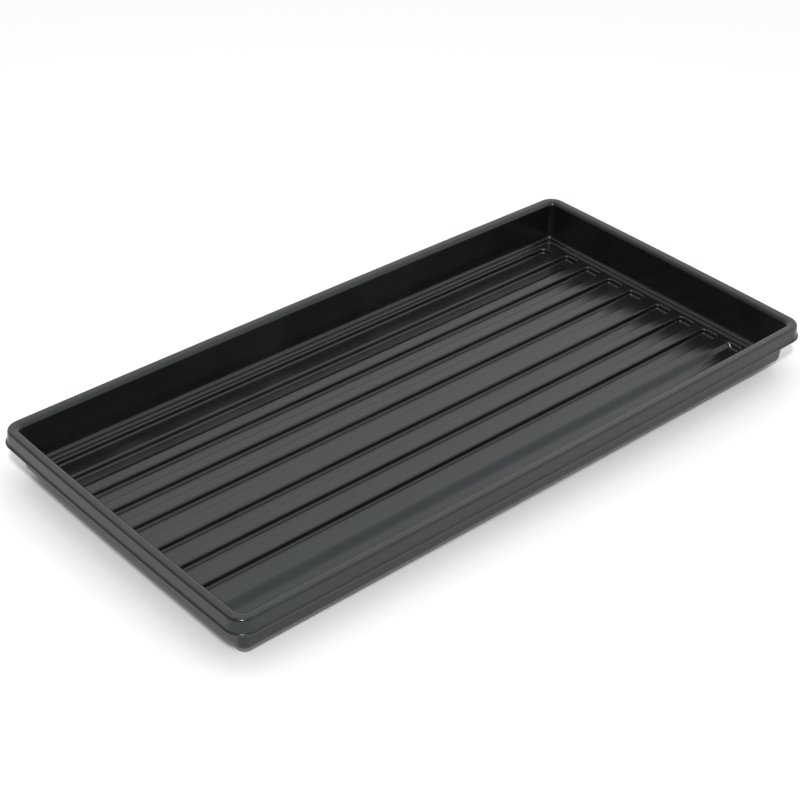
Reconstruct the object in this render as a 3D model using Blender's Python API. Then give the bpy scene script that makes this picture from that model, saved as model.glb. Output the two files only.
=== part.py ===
"""Shallow growing tray, formed from one sheet of plastic. Metres, +Z up, origin at bottom centre.

X runs along the tray and Y across it. Every surface is a section, drawn once in two
dimensions, that is carried round a rounded rectangle. A section is drawn for the upper
skin, and the lower skin is the same section one sheet thickness below.
"""

import math

import bmesh
import bpy

# Overall size
LENGTH = 0.5455
WIDTH = 0.2758
HEIGHT = 0.0396
SHEET = 0.0010

# Rim, from the trimmed lip inwards
LIP_WIDTH = 0.0012
LIP_DROP = 0.0002
LIP_FILLET = 0.0008
SKIRT_HEIGHT = 0.0103
SKIRT_FLARE = 0.0010
RIM_WIDTH = 0.0080
RIM_OUTER_ROUND = 0.0020
RIM_INNER_ROUND = 0.0035
LIP_CORNER_RADIUS = 0.0144
WELL_CORNER_RADIUS = 0.0052
LONG_SIDE_BOW = 0.0016
SHORT_SIDE_BOW = 0.0010

# Wall, ledge and step down to the floor
WALL_DRAFT = math.radians(5.2)
WALL_FILLET = 0.0033
LEDGE_WIDTH = 0.00395
STEP_HEIGHT = 0.0014
STEP_ANGLE = math.radians(54)
STEP_ROUND = 0.0011

# Channels pressed into the floor
CHANNEL_DEPTH = 0.0040
CHANNEL_WIDTH = 0.0150
RIB_WIDTH = 0.0095
CENTRE_RIB_WIDTH = 0.0138
EDGE_CHANNEL_WIDTH = 0.0122
EDGE_MARGIN = 0.0018
END_MARGIN = 0.0027
EDGE_CHANNEL_SETBACK = 0.0063
CHANNEL_ANGLE = math.radians(76)
BANK_ANGLE = math.radians(40)
CHANNEL_ROUND = 0.0016
CHANNEL_CORNER_RADIUS = 0.0034
EDGE_CHANNEL_CORNER_RADIUS = 0.0050
FOOT_TO_TOP_RADIUS = 0.6

# Smoothness of round stretches
SMALL_ROUND_STEPS = 2
ROUND_STEPS = 3
RIM_ROUND_STEPS = 4
CORNER_STEPS = 4
CHANNEL_CORNER_STEPS = 3
LONG_SIDE_STEPS = 8
SHORT_SIDE_STEPS = 4
SMOOTH_BELOW = math.radians(40)

FLOOR_Z = SHEET + CHANNEL_DEPTH
LEDGE_Z = FLOOR_Z + STEP_HEIGHT
RIM_MIDDLE_INSET = LIP_WIDTH + SKIRT_FLARE + RIM_WIDTH / 2


class Outline:
    """A rounded rectangle from its low to its high corner, and the steps of its sides and corners."""

    def __init__(self, low, high, radius, steps):
        self.low, self.high = low, high
        self.radius = radius
        self.steps = steps


def clear_scene():
    for item in list(bpy.data.objects):
        bpy.data.objects.remove(item, do_unlink=True)


def offset_corners(corners, distance):
    """Moves a section's straight runs sideways, to the right of their direction."""
    count = len(corners)
    normals = []
    for (s0, z0, *_), (s1, z1, *_) in zip(corners, corners[1:]):
        run = math.hypot(s1 - s0, z1 - z0)
        normals.append(((z1 - z0) / run, -(s1 - s0) / run))
    moved = []
    for i, (s, z, radius, steps) in enumerate(corners):
        before, after = normals[max(i - 1, 0)], normals[min(i, count - 2)]
        mitre = 1 + before[0] * after[0] + before[1] * after[1]
        s_shift = distance * (before[0] + after[0]) / mitre
        z_shift = distance * (before[1] + after[1]) / mitre
        turn = before[0] * after[1] - before[1] * after[0]
        grown = radius + math.copysign(distance, turn) if radius else 0.0
        moved.append((s + s_shift, z + z_shift, grown, steps))
    return moved


def round_corners(corners):
    """Turns a section's sharp corners into arcs, each with its own radius and step count."""
    points = [corners[0][:2]]
    for i in range(1, len(corners) - 1):
        (s0, z0, *_), (s, z, radius, steps), (s1, z1, *_) = corners[i - 1:i + 2]
        into = math.atan2(z - z0, s - s0)
        out = math.atan2(z1 - z, s1 - s)
        turn = math.remainder(out - into, math.tau)
        side = math.copysign(1.0, turn)
        reach = radius * math.tan(abs(turn) / 2)
        start_s, start_z = s - reach * math.cos(into), z - reach * math.sin(into)
        centre_s = start_s - side * radius * math.sin(into)
        centre_z = start_z + side * radius * math.cos(into)
        for k in range(steps + 1):
            angle = into + turn * k / steps
            points.append((centre_s + side * radius * math.sin(angle),
                           centre_z - side * radius * math.cos(angle)))
    points.append(corners[-1][:2])
    return points


def rim_corners():
    """Upper skin's section from lip to floor. A corner is its inset, height, radius and steps."""
    skirt_foot = LIP_WIDTH
    outer_edge = skirt_foot + SKIRT_FLARE
    inner_edge = outer_edge + RIM_WIDTH
    wall_foot = inner_edge + (HEIGHT - LEDGE_Z) * math.tan(WALL_DRAFT)
    step_top = wall_foot + LEDGE_WIDTH
    step_foot = step_top + STEP_HEIGHT / math.tan(STEP_ANGLE)
    lip_z = HEIGHT - SKIRT_HEIGHT
    return [
        (0.0, lip_z - LIP_DROP, 0.0, 0),
        (skirt_foot, lip_z, LIP_FILLET, SMALL_ROUND_STEPS),
        (outer_edge, HEIGHT, RIM_OUTER_ROUND, RIM_ROUND_STEPS),
        (inner_edge, HEIGHT, RIM_INNER_ROUND, RIM_ROUND_STEPS),
        (wall_foot, LEDGE_Z, WALL_FILLET, ROUND_STEPS),
        (step_top, LEDGE_Z, STEP_ROUND, SMALL_ROUND_STEPS),
        (step_foot, FLOOR_Z, STEP_ROUND, SMALL_ROUND_STEPS),
        (step_foot + STEP_ROUND, FLOOR_Z, 0.0, 0),
    ]


def ring_points(outline, insets, z, r, bow=(0.0, 0.0)):
    """Points round an outline, counter-clockwise seen from above.

    The insets draw in both ends, the low Y side and the high Y side. With a bow, a side's ends
    lie inside the outline and its middle touches it.
    """
    x0, y0 = outline.low[0] + insets[0] + bow[1], outline.low[1] + insets[1] + bow[0]
    x1, y1 = outline.high[0] - insets[0] - bow[1], outline.high[1] - insets[2] - bow[0]
    long_steps, short_steps, corner_steps = outline.steps
    middle_x, middle_y = (x0 + x1) / 2, (y0 + y1) / 2
    reach_x, reach_y = (x1 - x0) / 2 - r, (y1 - y0) / 2 - r
    corners = [(x1 - r, y1 - r, 0), (x0 + r, y1 - r, 1), (x0 + r, y0 + r, 2), (x1 - r, y0 + r, 3)]
    points = []
    for x, y, quarter in corners:
        for k in range(corner_steps + 1):
            angle = math.pi / 2 * (quarter + k / corner_steps)
            points.append((x + r * math.cos(angle), y + r * math.sin(angle), z))
        along_x = quarter % 2 == 0
        steps = long_steps if along_x else short_steps
        start = points[-1]
        for k in range(1, steps):
            share = 2 * k / steps - 1
            bulge = 1 - share * share
            if along_x:
                side = 1 if start[1] > middle_y else -1
                points.append((middle_x - side * reach_x * share, start[1] + side * bow[0] * bulge, z))
            else:
                side = 1 if start[0] > middle_x else -1
                points.append((start[0] + side * bow[1] * bulge, middle_y + side * reach_y * share, z))
    return points


def add_ring(mesh, points):
    return [mesh.verts.new(point) for point in points]


def join_rings(mesh, rings, flip=False):
    """Joins each ring to the next with four-sided faces."""
    for outer, inner in zip(rings, rings[1:]):
        count = len(outer)
        for i in range(count):
            j = (i + 1) % count
            quad = [outer[i], outer[j], inner[j], inner[i]]
            mesh.faces.new(reversed(quad) if flip else quad)


def fill_flat(mesh, loops, up):
    """Fills the flat between an outer loop and the loops inside it."""
    edges = []
    for loop in loops:
        for i, vert in enumerate(loop):
            edges.append(mesh.edges.get((vert, loop[(i + 1) % len(loop)])))
    made = bmesh.ops.triangle_fill(mesh, edges=edges, use_beauty=True, use_dissolve=False)
    faces = [item for item in made["geom"] if isinstance(item, bmesh.types.BMFace)]
    for face in faces:
        face.normal_update()
        if (face.normal.z > 0) != up:
            face.normal_flip()


def slope_inset(drop, angle, upper, lower):
    """Distance in from a channel's sharp top edge, at a depth below that edge."""
    rest = CHANNEL_DEPTH - drop
    if drop < upper * (1 - math.cos(angle)):
        turned = math.acos(1 - drop / upper)
        return upper * (math.sin(turned) - math.tan(angle / 2))
    if rest < lower * (1 - math.cos(angle)):
        turned = math.acos(1 - rest / lower)
        return CHANNEL_DEPTH / math.tan(angle) + lower * (math.tan(angle / 2) - math.sin(turned))
    return drop / math.tan(angle)


def channel_drops(upper, lower):
    """Depths of a channel's rings, from its top round to its foot round."""
    turns = [CHANNEL_ANGLE * k / ROUND_STEPS for k in range(ROUND_STEPS + 1)]
    top = [upper * (1 - math.cos(turn)) for turn in turns]
    foot = [CHANNEL_DEPTH - lower * (1 - math.cos(turn)) for turn in reversed(turns)]
    return top + foot


def channel_rings(mesh, outline, angles, below):
    """Rings of one channel on one skin. The angles are those of its low Y and high Y banks."""
    upper, lower = CHANNEL_ROUND - below, CHANNEL_ROUND + below
    rings = []
    for drop in channel_drops(upper, lower):
        insets = []
        for angle in (CHANNEL_ANGLE, *angles):
            skin = below * math.tan(angle / 2)
            insets.append(slope_inset(drop, angle, upper, lower) - skin)
        shrunk = 1 - (1 - FOOT_TO_TOP_RADIUS) * drop / CHANNEL_DEPTH
        points = ring_points(outline, insets, FLOOR_Z - below - drop, outline.radius * shrunk + below)
        rings.append(add_ring(mesh, points))
    return rings


def channel_layout():
    """Outline and bank angles of each channel, from the centre rib out to both edges."""
    floor_inset = rim_corners()[-1][0]
    reach_x = LENGTH / 2 - floor_inset - END_MARGIN
    reach_y = WIDTH / 2 - floor_inset - EDGE_MARGIN
    inner = CENTRE_RIB_WIDTH / 2
    span = reach_y - EDGE_CHANNEL_WIDTH - inner
    count = max(1, round(span / (CHANNEL_WIDTH + RIB_WIDTH)))
    pitch = span / count
    steps = (1, 1, CHANNEL_CORNER_STEPS)
    layout = []
    for side in (1, -1):
        for k in range(count + 1):
            start = inner + k * pitch
            edge = k == count
            end = reach_y if edge else start + CHANNEL_WIDTH
            half = reach_x - (EDGE_CHANNEL_SETBACK if edge else 0.0)
            radius = EDGE_CHANNEL_CORNER_RADIUS if edge else CHANNEL_CORNER_RADIUS
            low, high = sorted((side * start, side * end))
            outline = Outline((-half, low), (half, high), radius, steps)
            near = BANK_ANGLE if k == count - 1 else CHANNEL_ANGLE
            angles = (near, CHANNEL_ANGLE) if side > 0 else (CHANNEL_ANGLE, near)
            layout.append((outline, angles))
    return layout


def rim_rings(mesh, below):
    """Rings of one skin from the lip's edge to the floor.

    The sides bow out at the rim, less and less down the wall, and run straight at the ledge.
    """
    corners = rim_corners()
    if below:
        corners = offset_corners(corners, below)
        corners[0] = (0.0, *corners[0][1:])
    steps = (LONG_SIDE_STEPS, SHORT_SIDE_STEPS, CORNER_STEPS)
    outline = Outline((-LENGTH / 2, -WIDTH / 2), (LENGTH / 2, WIDTH / 2), LIP_CORNER_RADIUS, steps)
    rings = []
    for inset, z in round_corners(corners):
        share = 1.0
        if inset > RIM_MIDDLE_INSET:
            share = max(0.0, (z - LEDGE_Z) / (HEIGHT - LEDGE_Z))
        bow = (LONG_SIDE_BOW * share, SHORT_SIDE_BOW * share)
        radius = max(outline.radius - inset, WELL_CORNER_RADIUS)
        rings.append(add_ring(mesh, ring_points(outline, (inset,) * 3, z, radius, bow)))
    return rings


def build_skin(mesh, below, up):
    """One whole skin. Returns its trimmed edge."""
    rim = rim_rings(mesh, below)
    join_rings(mesh, rim, flip=not up)
    loops = [rim[-1]]
    for outline, angles in channel_layout():
        rings = channel_rings(mesh, outline, angles, below)
        join_rings(mesh, rings, flip=not up)
        floor = rings[-1] if up else list(reversed(rings[-1]))
        mesh.faces.new(floor)
        loops.append(rings[0])
    fill_flat(mesh, loops, up)
    return rim[0]


def make_material():
    material = bpy.data.materials.new("black_plastic")
    material.use_nodes = True
    shader = material.node_tree.nodes["Principled BSDF"]
    shader.inputs["Base Color"].default_value = (0.011, 0.0115, 0.012, 1.0)
    shader.inputs["Roughness"].default_value = 0.24
    shader.inputs["Metallic"].default_value = 0.0
    return material


def make_tray():
    mesh = bmesh.new()
    upper_edge = build_skin(mesh, 0.0, up=True)
    lower_edge = build_skin(mesh, SHEET, up=False)
    join_rings(mesh, [lower_edge, upper_edge])
    data = bpy.data.meshes.new("tray")
    mesh.to_mesh(data)
    mesh.free()
    data.shade_smooth()
    data.set_sharp_from_angle(angle=SMOOTH_BELOW)
    data.materials.append(make_material())
    tray = bpy.data.objects.new("tray", data)
    bpy.context.scene.collection.objects.link(tray)


clear_scene()
make_tray()
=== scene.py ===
import math

import bmesh
import bpy
from bpy.props import FloatProperty, FloatVectorProperty, IntProperty, PointerProperty
from mathutils import Matrix, Vector


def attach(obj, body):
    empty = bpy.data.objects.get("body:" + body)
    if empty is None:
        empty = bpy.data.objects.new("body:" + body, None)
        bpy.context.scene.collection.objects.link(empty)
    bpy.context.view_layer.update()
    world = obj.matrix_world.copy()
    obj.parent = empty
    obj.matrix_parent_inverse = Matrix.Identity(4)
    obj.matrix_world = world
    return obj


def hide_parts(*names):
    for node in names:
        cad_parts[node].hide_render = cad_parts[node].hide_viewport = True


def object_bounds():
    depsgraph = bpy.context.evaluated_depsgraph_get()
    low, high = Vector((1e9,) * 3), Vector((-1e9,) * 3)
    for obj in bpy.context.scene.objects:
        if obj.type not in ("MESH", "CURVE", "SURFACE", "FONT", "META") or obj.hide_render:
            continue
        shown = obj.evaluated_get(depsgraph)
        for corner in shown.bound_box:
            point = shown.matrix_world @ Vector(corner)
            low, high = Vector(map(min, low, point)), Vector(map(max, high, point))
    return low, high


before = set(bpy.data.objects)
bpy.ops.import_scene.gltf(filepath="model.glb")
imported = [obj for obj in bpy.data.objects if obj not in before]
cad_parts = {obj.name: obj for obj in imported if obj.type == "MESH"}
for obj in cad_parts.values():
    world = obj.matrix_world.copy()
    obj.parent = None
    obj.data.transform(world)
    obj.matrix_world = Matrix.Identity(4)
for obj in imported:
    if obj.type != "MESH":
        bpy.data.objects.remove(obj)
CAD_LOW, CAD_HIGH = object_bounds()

bl_info = {
    "name": "Growing tray",
    "version": (1, 0, 0),
    "blender": (4, 5, 0),
    "location": "3D View > Sidebar > Growing tray",
    "description": "A shallow growing tray, formed from one sheet of glossy black plastic, and its studio",
    "category": "Add Mesh",
}

CORNER_REACH = 1.5                   # corner radii within which a point belongs to a corner
TABLE_REACH = 4.0                    # m, from the table's middle to its sides
TABLE_ROUGHNESS = 0.6
KEY_SIZE = 0.18                      # m, side of the square lamp
KEY_PLACE = (-1.0, -1.1, 1.7)        # m, behind the camera and above it
BRIGHT_SIDE = (0.92, 0.25, 0.30)     # direction in which the surround is brightest
SURROUND_LIMIT = 0.9                 # cosine to that direction past which its light stays even
SENSOR_WIDTH = 36.0                  # mm
WHITE = (1.0, 1.0, 1.0, 1.0)

RUBBED_PATCHES = (22.0, 3.0, 0.5)    # noises: scale (larger is finer), detail and roughness
SPECKLES = (260.0, 4.0, 0.6)
SLOW_WAVES = (14.0, 1.0, 0.4)
FINE_GRAIN = (1400.0, 2.0, 0.5)
RUBBED_FROM, RUBBED_TO = 0.42, 0.72  # noise values at which the rubbing begins and is full
SPECKLE_SHARE = 0.5                  # of the speckles in the roughness, against 1 for the rubbing


def length(name, description, default):
    """A length in metres."""
    return FloatProperty(name=name, description=description, default=default, unit="LENGTH", precision=5)


def turn(name, description, degrees):
    """An angle, whose default is given in degrees."""
    return FloatProperty(name=name, description=description, default=math.radians(degrees), unit="ROTATION")


def colour(name, description, default):
    """A colour in linear values."""
    return FloatVectorProperty(name=name, description=description, default=default, subtype="COLOR",
                               size=3, min=0.0, max=1.0)


def share(name, description, default):
    """A share from 0 to 1."""
    return FloatProperty(name=name, description=description, default=default, min=0.0, max=1.0,
                         subtype="FACTOR")


def amount(name, description, default, unit="NONE", least=0.0):
    """Any other number."""
    return FloatProperty(name=name, description=description, default=default, unit=unit, min=least)


def count(name, description, default, least):
    """A whole number."""
    return IntProperty(name=name, description=description, default=default, min=least)


class TraySizes(bpy.types.PropertyGroup):
    """Sizes of the formed sheet."""

    long_side: length("Length", "Along the tray, over the lip", CAD_HIGH.x - CAD_LOW.x)
    short_side: length("Width", "Across the tray, over the lip", CAD_HIGH.y - CAD_LOW.y)
    height: length("Height", "From the table to the top of the rim", CAD_HIGH.z)
    sheet: length("Sheet", "Thickness of the plastic", 0.0010)
    lip_width: length("Lip width", "Trimmed lip at the foot of the skirt", 0.0012)
    lip_drop: length("Lip drop", "Fall of the lip towards its edge", 0.0002)
    lip_fillet: length("Lip fillet", "Round between lip and skirt", 0.0008)
    skirt_height: length("Skirt height", "Outer side of the rim", 0.0103)
    skirt_flare: length("Skirt flare", "How far the skirt's foot stands out", 0.0010)
    rim_width: length("Rim width", "Flat top of the rim between its edges", 0.0080)
    rim_outer_round: length("Rim outer round", "Radius of the rim's outer edge", 0.0020)
    rim_inner_round: length("Rim inner round", "Radius of the rim's inner edge", 0.0035)
    rim_fall: length("Rim fall", "How much lower the rim's top lies at its inner edge", 0.0005)
    lip_corner: length("Lip corner", "Radius of the lip's corners", 0.0144)
    well_corner: length("Well corner", "Radius of the corners between the walls", 0.0052)
    long_bow: length("Long side bow", "How far a long side bows out at the rim", 0.0016)
    short_bow: length("Short side bow", "How far a short side bows out at the rim", 0.0010)
    wall_draft: turn("Wall draft", "Lean of the walls", 5.2)
    wall_fillet: length("Wall fillet", "Round at the foot of the walls", 0.0033)
    ledge_width: length("Ledge width", "Level ledge at the foot of the walls", 0.00395)
    step_height: length("Step height", "From the ledge down to the floor", 0.0014)
    step_angle: turn("Step angle", "Slope of the step below the ledge", 54.0)
    step_round: length("Step round", "Radius of the step's two edges", 0.0011)
    channel_depth: length("Channel depth", "How far the channels are pressed into the floor", 0.0040)
    channel_width: length("Channel width", "Across one channel, at the floor", 0.0150)
    rib_width: length("Rib width", "Floor between two channels", 0.0095)
    centre_rib: length("Centre rib", "Floor between the two middle channels", 0.0138)
    edge_channel: length("Edge channel", "Width of the narrow channels beside the long walls", 0.0122)
    edge_margin: length("Edge margin", "Floor between the step and the edge channels", 0.0018)
    end_margin: length("End margin", "Floor between the step and the channels' ends", 0.0027)
    edge_setback: length("Edge setback", "How much sooner the edge channels end", 0.0063)
    channel_angle: turn("Channel angle", "Slope of a channel's sides", 76.0)
    bank_angle: turn("Bank angle", "Slope of the wide bank in the last full channel", 40.0)
    channel_round: length("Channel round", "Radius of a channel's upper and lower edges", 0.0016)
    channel_corner: length("Channel corner", "Corner radius of a channel", 0.0034)
    edge_channel_corner: length("Edge channel corner", "Corner radius of an edge channel", 0.0050)
    corner_segments: count("Corner segments", "Steps of a rim corner", 14, 4)
    round_segments: count("Round segments", "Steps of a rounded edge", 6, 2)
    side_cuts: count("Side cuts", "Cuts along a bowed side", 24, 4)

    def floor_z(self):
        return self.sheet + self.channel_depth

    def ledge_z(self):
        return self.floor_z() + self.step_height


class PlasticLook(bpy.types.PropertyGroup):
    """Colours and sheen of the plastic."""

    deep: colour("Deep black", "Colour of the plastic", (0.0056, 0.0062, 0.0060))
    faded: colour("Faded black", "Colour where the plastic is dulled", (0.0092, 0.0101, 0.0099))
    shine: colour("Shine", "Tint of the plastic's reflections", (0.91, 1.0, 1.0))
    sheen: share("Roughness", "Roughness of the clean plastic", 0.20)
    scuffed: share("Scuffed roughness", "Roughness where the plastic is rubbed", 0.32)
    ior: amount("IOR", "Refraction of the plastic, which sets how strongly it reflects", 1.52, least=1.0)
    grain_depth: length("Grain depth", "Depth of the fine grain", 0.00002)
    wave_depth: length("Wave depth", "Depth of the sheet's slow waves", 0.00020)


class StudioSettings(bpy.types.PropertyGroup):
    """The table, the lights and the camera."""

    table: colour("Table", "Colour of the table", (0.885, 0.883, 0.887))
    surround_bright: amount("Bright surround", "Strength of the white surround on its bright side", 1.24)
    surround_dim: amount("Dim surround", "Strength of the white surround on its dim side", 0.30)
    key_power: amount("Key power", "Power of the lamp above the camera", 28.0, "POWER")
    azimuth: turn("Azimuth", "Direction of view, 0 along the width", -42.3546)
    elevation: turn("Elevation", "Height of the view above the table's plane", 34.0654)
    roll: turn("Roll", "Tilt of the camera about its line of sight", -1.5696)
    target_x: length("Target X", "Where the view meets the rim's plane, along the tray", -0.036200)
    target_y: length("Target Y", "Where the view meets the rim's plane, across the tray", -0.015537)
    distance: length("Distance", "From the camera to the rim's plane along the line of sight", 1.26741)
    lens: amount("Lens", "Focal length, for a sensor 36 mm wide", 80.687, "CAMERA", 10.0)


def sizes():
    """The sizes as the panel shows them."""
    return bpy.context.scene.tray_sizes


def rounded_face(mesh, low, high, radius, segments, height):
    """A level rectangle with round corners. Returns its one face."""
    corners = bmesh.ops.create_grid(mesh, x_segments=1, y_segments=1, size=0.5)["verts"]
    bmesh.ops.scale(mesh, verts=corners, vec=(high[0] - low[0], high[1] - low[1], 1.0))
    middle = ((low[0] + high[0]) / 2, (low[1] + high[1]) / 2, height)
    bmesh.ops.translate(mesh, verts=corners, vec=middle)
    made = bmesh.ops.bevel(mesh, geom=corners, offset=radius, segments=segments, profile=0.5,
                           affect="VERTICES", material=-1)
    return made["verts"][0].link_faces[0]


def step_in(mesh, face, inset, rise=0.0):
    """Adds a ring inside a face, whose round corners tighten by the inset. Returns the ring's outer edges."""
    made = bmesh.ops.inset_individual(mesh, faces=[face], thickness=inset, depth=rise, use_even_offset=True)
    inner = set(face.verts)
    return [edge for ring in made["faces"] for edge in ring.edges if not inner.intersection(edge.verts)]


def slide(mesh, face, inset, radius):
    """Draws a face's edges in and keeps the radius of its corners."""
    reach_x = max(vert.co.x for vert in face.verts) - CORNER_REACH * radius
    reach_y = max(vert.co.y for vert in face.verts) - CORNER_REACH * radius
    groups = {}
    for vert in face.verts:
        x = math.copysign(1, vert.co.x) if abs(vert.co.x) > reach_x else 0
        y = math.copysign(1, vert.co.y) if abs(vert.co.y) > reach_y else 0
        groups.setdefault((x, y), []).append(vert)
    for (x, y), verts in groups.items():
        bmesh.ops.translate(mesh, verts=verts, vec=(-x * inset, -y * inset, 0.0))


def slide_in(mesh, face, inset, radius, rise=0.0):
    """Adds a ring inside a face and keeps the radius of its corners. Returns the ring's outer edges."""
    outer = step_in(mesh, face, 0.0, rise)
    slide(mesh, face, inset, radius)
    return outer


def round_off(mesh, edges, radius, turned, segments):
    """Rounds a crease between two faces that turn by an angle."""
    bmesh.ops.bevel(mesh, geom=edges, offset=radius * math.tan(turned / 2), offset_type="OFFSET",
                    segments=segments, profile=0.5, affect="EDGES", material=-1, loop_slide=True)


def make_rim(mesh):
    """Lip, skirt, rim, walls, ledge and step. Returns the face left for the floor, and the creases."""
    s = sizes()
    half = (s.long_side / 2, s.short_side / 2)
    lip_z = s.height - s.skirt_height
    face = rounded_face(mesh, (-half[0], -half[1]), half, s.lip_corner, s.corner_segments,
                        lip_z - s.lip_drop)
    for edge in [edge for edge in face.edges if edge.calc_length() > s.short_side / 2]:
        bmesh.ops.subdivide_edges(mesh, edges=[edge], cuts=s.side_cuts)
    skirt_turn = math.radians(90) - math.atan(s.skirt_flare / s.skirt_height)
    wall_turn = math.radians(90) - s.wall_draft
    wall_height = s.height - s.rim_fall - s.ledge_z()
    fine, coarse = s.round_segments, s.round_segments // 2
    step_in(mesh, face, s.lip_width, s.lip_drop)
    lip = step_in(mesh, face, s.skirt_flare, s.skirt_height)
    tightened = s.lip_corner - s.well_corner - s.lip_width - s.skirt_flare
    outer = step_in(mesh, face, tightened, -s.rim_fall)
    slide(mesh, face, s.rim_width - tightened, s.well_corner)
    inner = slide_in(mesh, face, wall_height * math.tan(s.wall_draft), s.well_corner, -wall_height)
    foot = slide_in(mesh, face, s.ledge_width, s.well_corner)
    ledge = slide_in(mesh, face, s.step_height / math.tan(s.step_angle), s.well_corner, -s.step_height)
    floor = slide_in(mesh, face, s.step_round, s.well_corner)
    return face, [
        (lip, s.lip_fillet, skirt_turn, coarse),
        (outer, s.rim_outer_round, skirt_turn, fine),
        (inner, s.rim_inner_round, wall_turn, fine),
        (foot, s.wall_fillet, wall_turn, fine),
        (ledge, s.step_round, s.step_angle, coarse),
        (floor, s.step_round, s.step_angle, coarse),
    ]


def make_channel(mesh, low, high, radius, banks):
    """One channel with a narrow margin of floor. Returns the margin's outer edges and the creases."""
    s = sizes()
    margin = s.channel_round
    face = rounded_face(mesh, (low[0] - margin, low[1] - margin), (high[0] + margin, high[1] + margin),
                        radius + margin, s.corner_segments // 2, s.floor_z())
    outer = step_in(mesh, face, margin)
    inset = s.channel_depth / math.tan(s.channel_angle)
    top = step_in(mesh, face, inset, -s.channel_depth)
    middle = face.calc_center_median().y
    for angle, side in zip(banks, (1, -1)):
        shift = side * (s.channel_depth / math.tan(angle) - inset)
        verts = [vert for vert in face.verts if side * (middle - vert.co.y) > 0]
        bmesh.ops.translate(mesh, verts=verts, vec=(0.0, shift, 0.0))
    foot = list(face.edges)
    return outer, [(edges, s.channel_round, s.channel_angle, s.round_segments) for edges in (top, foot)]


def channel_layout():
    """Low and high corner, corner radius and bank angles of each channel."""
    s = sizes()
    wall_foot = (s.height - s.ledge_z()) * math.tan(s.wall_draft)
    floor_inset = s.lip_width + s.skirt_flare + s.rim_width + wall_foot + s.ledge_width
    floor_inset += s.step_height / math.tan(s.step_angle) + s.step_round
    reach_x = s.long_side / 2 - floor_inset - s.end_margin
    reach_y = s.short_side / 2 - floor_inset - s.edge_margin
    inner = s.centre_rib / 2
    span = reach_y - s.edge_channel - inner
    full_channels = round(span / (s.channel_width + s.rib_width))
    layout = []
    for side in (1, -1):
        for k in range(full_channels + 1):
            start = inner + k * span / full_channels
            edge = k == full_channels
            end = reach_y if edge else start + s.channel_width
            half = reach_x - (s.edge_setback if edge else 0.0)
            radius = s.edge_channel_corner if edge else s.channel_corner
            low, high = sorted((side * start, side * end))
            near = s.bank_angle if k == full_channels - 1 else s.channel_angle
            banks = (near, s.channel_angle) if side > 0 else (s.channel_angle, near)
            layout.append(((-half, low), (half, high), radius, banks))
    return layout


def bow_sides(mesh):
    """Draws the rim's corners in, so that its sides bow out. The bow fades down the walls."""
    s = sizes()
    half_x, half_y = s.long_side / 2, s.short_side / 2
    middle = s.lip_width + s.skirt_flare + s.rim_width / 2
    for vert in mesh.verts:
        x, y, z = vert.co
        outside = abs(x) > half_x - middle or abs(y) > half_y - middle
        share = 1.0 if outside else max(0.0, (z - s.ledge_z()) / (s.height - s.ledge_z()))
        along_x = min(1.0, abs(x) / (half_x - s.lip_corner))
        along_y = min(1.0, abs(y) / (half_y - s.lip_corner))
        vert.co.x -= math.copysign(s.short_bow * share * along_y ** 2 * (abs(x) / half_x), x)
        vert.co.y -= math.copysign(s.long_bow * share * along_x ** 2 * (abs(y) / half_y), y)


def shape_tray():
    """The upper skin of the whole tray."""
    mesh = bmesh.new()
    floor, creases = make_rim(mesh)
    border = list(floor.edges)
    for channel in channel_layout():
        outer, rounds = make_channel(mesh, *channel)
        border += outer
        creases += rounds
    bmesh.ops.delete(mesh, geom=[floor], context="FACES_ONLY")
    made = bmesh.ops.triangle_fill(mesh, edges=border, use_beauty=True, use_dissolve=False)
    flat = [item for item in made["geom"] if isinstance(item, bmesh.types.BMFace)]
    mesh.normal_update()
    bmesh.ops.reverse_faces(mesh, faces=[face for face in flat if face.normal.z < 0])
    for crease in creases:
        round_off(mesh, *crease)
    bow_sides(mesh)
    return mesh


def feed(tree, node, inputs):
    """Gives each named input its value, or links it to another node's output."""
    for name, value in inputs.items():
        if isinstance(value, bpy.types.NodeSocket):
            tree.links.new(value, node.inputs[name])
        else:
            node.inputs[name].default_value = value


def add_node(tree, kind, inputs, output, **settings):
    """Adds a node with its settings and inputs. Returns one of its outputs."""
    node = tree.nodes.new(kind)
    for name, value in settings.items():
        setattr(node, name, value)
    feed(tree, node, inputs)
    return node.outputs[output]


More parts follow.
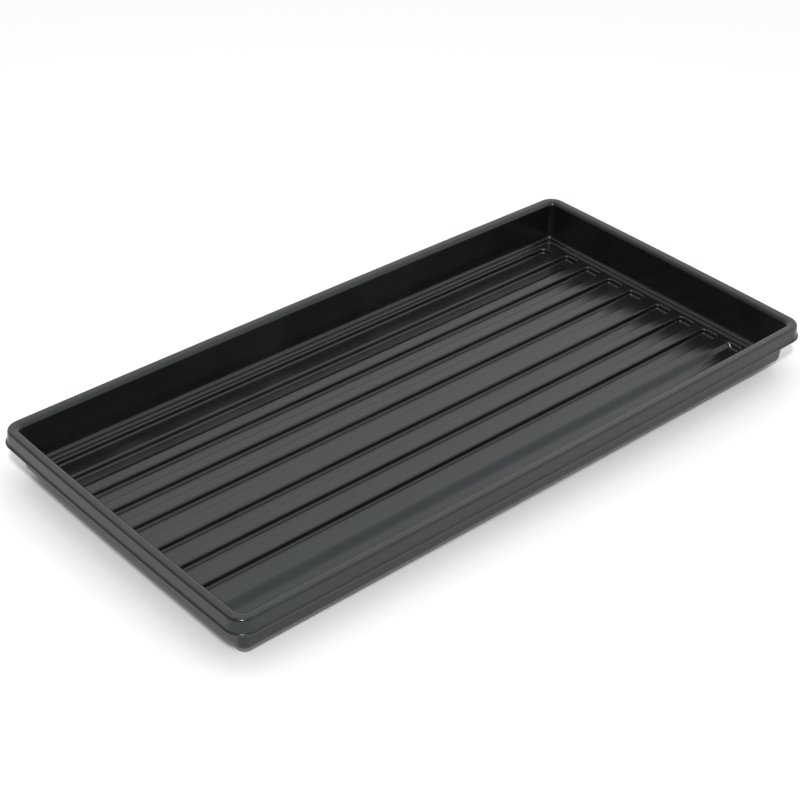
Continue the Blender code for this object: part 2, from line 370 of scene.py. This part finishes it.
def plastic():
    """Glossy black sheet with a fine grain, slow waves and light rubbing."""
    look = bpy.context.scene.plastic_look
    material = bpy.data.materials.new("glossy_black_sheet")
    material.use_nodes = True
    tree = material.node_tree
    place = add_node(tree, "ShaderNodeTexCoord", {}, "Object")

    def noise(scale, detail, roughness):
        values = {"Vector": place, "Scale": scale, "Detail": detail, "Roughness": roughness}
        return add_node(tree, "ShaderNodeTexNoise", values, "Fac")

    def bump(depth, height, **under):
        values = {"Strength": 1.0, "Distance": depth, "Height": height, **under}
        return add_node(tree, "ShaderNodeBump", values, "Normal")

    rubbed = add_node(tree, "ShaderNodeValToRGB", {"Fac": noise(*RUBBED_PATCHES)}, "Color")
    first, last = rubbed.node.color_ramp.elements
    first.position, last.position = RUBBED_FROM, RUBBED_TO
    tint = add_node(tree, "ShaderNodeMix", {
        "Factor": rubbed, "A": (*look.deep, 1.0), "B": (*look.faded, 1.0)}, "Result", data_type="RGBA")
    wear = add_node(tree, "ShaderNodeMath", {
        0: noise(*SPECKLES), 1: SPECKLE_SHARE, 2: rubbed}, "Value", operation="MULTIPLY_ADD")
    rough = add_node(tree, "ShaderNodeMapRange", {
        "Value": wear, "From Max": 1.0 + SPECKLE_SHARE,
        "To Min": look.sheen, "To Max": look.scuffed}, "Result")
    waves = bump(look.wave_depth, noise(*SLOW_WAVES))
    skin = bump(look.grain_depth, noise(*FINE_GRAIN), Normal=waves)
    feed(tree, tree.nodes["Principled BSDF"], {
        "Base Color": tint, "Roughness": rough, "Normal": skin,
        "IOR": look.ior, "Specular Tint": (*look.shine, 1.0)})
    return material


class TRAY_OT_formed_sheet(bpy.types.Operator):
    """Forms the whole tray, rim to channels, from one sheet"""

    bl_idname = "tray.formed_sheet"
    bl_label = "Formed tray"
    bl_options = {"REGISTER", "UNDO"}

    def execute(self, context):
        mesh = shape_tray()
        data = bpy.data.meshes.new("formed_tray")
        mesh.to_mesh(data)
        mesh.free()
        data.shade_smooth()
        data.materials.append(plastic())
        piece = bpy.data.objects.new("formed_tray", data)
        context.scene.collection.objects.link(piece)
        wall = piece.modifiers.new("sheet", "SOLIDIFY")
        wall.thickness = sizes().sheet
        wall.offset = -1.0
        wall.use_even_offset = True
        wall.use_quality_normals = True
        even = piece.modifiers.new("even_shading", "WEIGHTED_NORMAL")
        even.keep_sharp = True
        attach(piece, "root")
        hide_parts("tray")
        return {"FINISHED"}


def aim(place, target):
    """A matrix at a place whose -Z axis points at a target."""
    turned = (target - place).to_track_quat("-Z", "Y")
    return Matrix.Translation(place) @ turned.to_matrix().to_4x4()


def lay_table():
    """The table that the tray stands on, which isn't part of it."""
    studio = bpy.context.scene.tray_studio
    mesh = bmesh.new()
    bmesh.ops.create_grid(mesh, x_segments=1, y_segments=1, size=TABLE_REACH)
    data = bpy.data.meshes.new("table")
    mesh.to_mesh(data)
    mesh.free()
    material = bpy.data.materials.new("pale_table")
    material.use_nodes = True
    feed(material.node_tree, material.node_tree.nodes["Principled BSDF"], {
        "Base Color": (*studio.table, 1.0), "Roughness": TABLE_ROUGHNESS})
    data.materials.append(material)
    table = bpy.data.objects.new("table", data)
    bpy.context.scene.collection.objects.link(table)


def add_surround():
    """White light from all round, stronger from one side."""
    studio = bpy.context.scene.tray_studio
    world = bpy.data.worlds.new("white_surround")
    world.use_nodes = True
    tree = world.node_tree
    direction = add_node(tree, "ShaderNodeTexCoord", {}, "Generated")
    facing = add_node(tree, "ShaderNodeVectorMath", {
        0: direction, 1: BRIGHT_SIDE}, "Value", operation="DOT_PRODUCT")
    strength = add_node(tree, "ShaderNodeMapRange", {
        "Value": facing, "From Min": -SURROUND_LIMIT, "From Max": SURROUND_LIMIT,
        "To Min": studio.surround_dim, "To Max": studio.surround_bright},
        "Result", interpolation_type="SMOOTHSTEP")
    feed(tree, tree.nodes["Background"], {"Color": WHITE, "Strength": strength})
    bpy.context.scene.world = world


def add_key_lamp():
    """A small lamp for the highlights and the shade on the table."""
    lamp = bpy.data.lights.new("key_lamp", "AREA")
    lamp.size = KEY_SIZE
    lamp.energy = bpy.context.scene.tray_studio.key_power
    item = bpy.data.objects.new("key_lamp", lamp)
    item.matrix_world = aim(Vector(KEY_PLACE), Vector())
    bpy.context.scene.collection.objects.link(item)


def add_camera():
    """The camera, turned by azimuth, elevation and roll about the line of sight."""
    studio = bpy.context.scene.tray_studio
    az, el = studio.azimuth, studio.elevation
    forward = Vector((-math.sin(az) * math.cos(el), math.cos(az) * math.cos(el), -math.sin(el)))
    target = Vector((studio.target_x, studio.target_y, sizes().height))
    eye = target - forward * studio.distance
    camera = bpy.data.cameras.new("camera")
    camera.sensor_width = SENSOR_WIDTH
    camera.lens = studio.lens
    item = bpy.data.objects.new("camera", camera)
    roll = Matrix.Rotation(-studio.roll, 4, "Z")
    item.matrix_world = aim(eye, target) @ roll
    bpy.context.scene.collection.objects.link(item)
    bpy.context.scene.camera = item


class TRAY_OT_studio(bpy.types.Operator):
    """Lays the table and sets the lights and the camera"""

    bl_idname = "tray.studio"
    bl_label = "Studio"
    bl_options = {"REGISTER", "UNDO"}

    def execute(self, context):
        lay_table()
        add_surround()
        add_key_lamp()
        add_camera()
        context.scene.view_settings.view_transform = "Standard"
        return {"FINISHED"}


class TRAY_PT_panel(bpy.types.Panel):
    """Lists the tray's piece and its studio"""

    bl_idname = "TRAY_PT_panel"
    bl_label = "Growing tray"
    bl_space_type = "VIEW_3D"
    bl_region_type = "UI"
    bl_category = "Growing tray"

    def draw(self, context):
        for operator in OPERATORS:
            self.layout.operator(operator.bl_idname)
        for name in GROUPS:
            group = getattr(context.scene, name)
            for field in group.bl_rna.properties:
                if field.identifier not in ("rna_type", "name"):
                    self.layout.prop(group, field.identifier)


GROUPS = {"tray_sizes": TraySizes, "plastic_look": PlasticLook, "tray_studio": StudioSettings}
OPERATORS = (TRAY_OT_formed_sheet, TRAY_OT_studio)


def register():
    for item in (*GROUPS.values(), *OPERATORS, TRAY_PT_panel):
        bpy.utils.register_class(item)
    for name, group in GROUPS.items():
        setattr(bpy.types.Scene, name, PointerProperty(type=group))


def unregister():
    for name in GROUPS:
        delattr(bpy.types.Scene, name)
    for item in reversed((*GROUPS.values(), *OPERATORS, TRAY_PT_panel)):
        bpy.utils.unregister_class(item)


def main():
    register()
    bpy.ops.tray.formed_sheet()
    bpy.ops.tray.studio()


if __name__ == "__main__":
    main()
